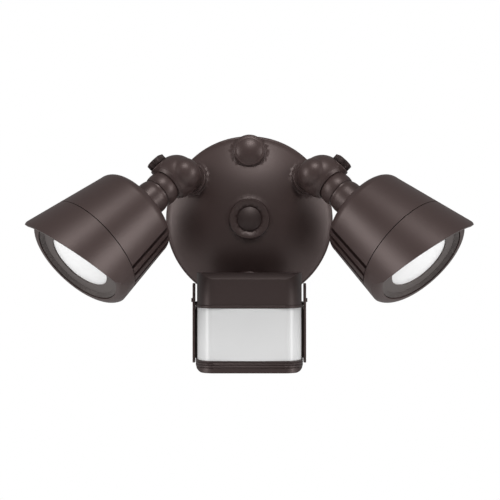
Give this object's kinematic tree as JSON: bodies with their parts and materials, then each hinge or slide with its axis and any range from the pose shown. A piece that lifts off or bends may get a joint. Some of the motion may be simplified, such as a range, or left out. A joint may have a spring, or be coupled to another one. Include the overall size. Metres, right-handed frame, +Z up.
{
  "type": "motion sensor security light",
  "caption": "Wall light with a domed round canopy, hooded lamp heads on adjustable ball elbows and a motion sensor on a yoke below.",
  "frame": {"origin": "on the wall at the canopy's centre, between the mounting bar's slots", "axes": "+Z up, the light faces -Y away from the wall, +X to the right as seen from the front"},
  "size_m": [0.303, 0.13, 0.1751],
  "materials": {
    "bronze_metal": "satin dark bronze powder coat on die-cast aluminium",
    "bronze_steel": "satin dark bronze paint on steel",
    "bronze_plastic": "satin dark bronze plastic",
    "bezel_plastic": "satin dark grey-brown plastic",
    "white_lens": "milky white moulded lens",
    "head_lens": "frosted white lens",
    "rubber": "black rubber",
    "zinc_steel": "zinc plated steel",
    "green_screw": "green ground screw",
    "black_case": "black potted case",
    "green_board": "green circuit board",
    "dial_plastic": "light grey plastic",
    "reflector": "white reflector",
    "white_board": "white coated metal-core board",
    "bare_aluminium": "machined aluminium"
  },
  "bodies": {
    "base": {"canopy_cover": "bronze_metal", "canopy_gasket": "rubber", "centre_cap": "bronze_plastic", "centre_screw": "zinc_steel", "ground_screw": "green_screw", "left_hub_seal": "rubber", "left_locknut": "bronze_metal", "mounting_bar": "zinc_steel", "pivot_pins": "zinc_steel", "power_module": "black_case", "right_hub_seal": "rubber", "right_locknut": "bronze_metal", "sensor_yoke": "bronze_steel", "top_hub_plug": "bronze_metal", "yoke_locknut": "bronze_metal", "yoke_seal": "rubber"},
    "left_arm": {"left_elbow": "bronze_metal", "left_tilt_pin": "zinc_steel", "left_brake_pad": "rubber"},
    "left_thumb": {"left_thumb_screw": "bronze_plastic"},
    "left_head": {"left_neck": "bronze_metal", "left_neck_nut": "zinc_steel", "left_rear_housing": "bronze_metal", "left_seam_gasket": "rubber", "left_front_shroud": "bronze_metal", "left_bezel": "bezel_plastic", "left_lens": "head_lens", "left_reflector": "reflector", "left_led_board": "white_board", "left_heat_plate": "bare_aluminium", "left_board_screws": "zinc_steel"},
    "right_arm": {"right_elbow": "bronze_metal", "right_tilt_pin": "zinc_steel", "right_brake_pad": "rubber"},
    "right_thumb": {"right_thumb_screw": "bronze_plastic"},
    "right_head": {"right_neck": "bronze_metal", "right_neck_nut": "zinc_steel", "right_rear_housing": "bronze_metal", "right_seam_gasket": "rubber", "right_front_shroud": "bronze_metal", "right_bezel": "bezel_plastic", "right_lens": "head_lens", "right_reflector": "reflector", "right_led_board": "white_board", "right_heat_plate": "bare_aluminium", "right_board_screws": "zinc_steel"},
    "sensor": {"sensor_front_cover": "bronze_plastic", "sensor_lens": "white_lens", "sensor_rear_housing": "bronze_plastic", "sensor_bottom_cover": "bronze_plastic", "circuit_board": "green_board", "pir_detector": "zinc_steel", "dial_block": "black_case"},
    "time_dial": {"time_dial": "dial_plastic"},
    "range_dial": {"range_dial": "dial_plastic"}
  },
  "joints": [
    {"name": "left_swivel", "type": "hinge", "parent": "base", "child": "left_arm", "pos_m": [-0.0441, -0.016, 0.0303], "axis": [0.1004, 0.9925, -0.069], "range_deg": [-15, 110]},
    {"name": "left_tilt", "type": "hinge", "parent": "left_arm", "child": "left_head", "pos_m": [-0.06352, -0.04788, 0.02078], "axis": [-0.682, 0, 0.7314], "range_deg": [-12, 45]},
    {"name": "left_thumb_screw_turn", "type": "hinge", "parent": "left_arm", "child": "left_thumb", "pos_m": [-0.06639, -0.04297, 0.03861], "axis": [-0.682, 0, 0.7314], "continuous": true},
    {"name": "right_swivel", "type": "hinge", "parent": "base", "child": "right_arm", "pos_m": [0.0441, -0.016, 0.0303], "axis": [0.1004, -0.9925, 0.069], "range_deg": [-15, 110]},
    {"name": "right_tilt", "type": "hinge", "parent": "right_arm", "child": "right_head", "pos_m": [0.06352, -0.04788, 0.02078], "axis": [-0.682, 0, -0.7314], "range_deg": [-12, 45]},
    {"name": "right_thumb_screw_turn", "type": "hinge", "parent": "right_arm", "child": "right_thumb", "pos_m": [0.06639, -0.04297, 0.03861], "axis": [0.682, 0, 0.7314], "continuous": true},
    {"name": "sensor_tilt", "type": "hinge", "parent": "base", "child": "sensor", "pos_m": [0, -0.0375, -0.0652], "axis": [1, 0, 0], "range_deg": [-12, 18]},
    {"name": "time_dial_turn", "type": "hinge", "parent": "sensor", "child": "time_dial", "pos_m": [-0.015, -0.05, -0.1107], "axis": [0, 0, -1], "range_deg": [-135, 135]},
    {"name": "range_dial_turn", "type": "hinge", "parent": "sensor", "child": "range_dial", "pos_m": [0.015, -0.05, -0.1107], "axis": [0, 0, -1], "range_deg": [-135, 135]}
  ]
}
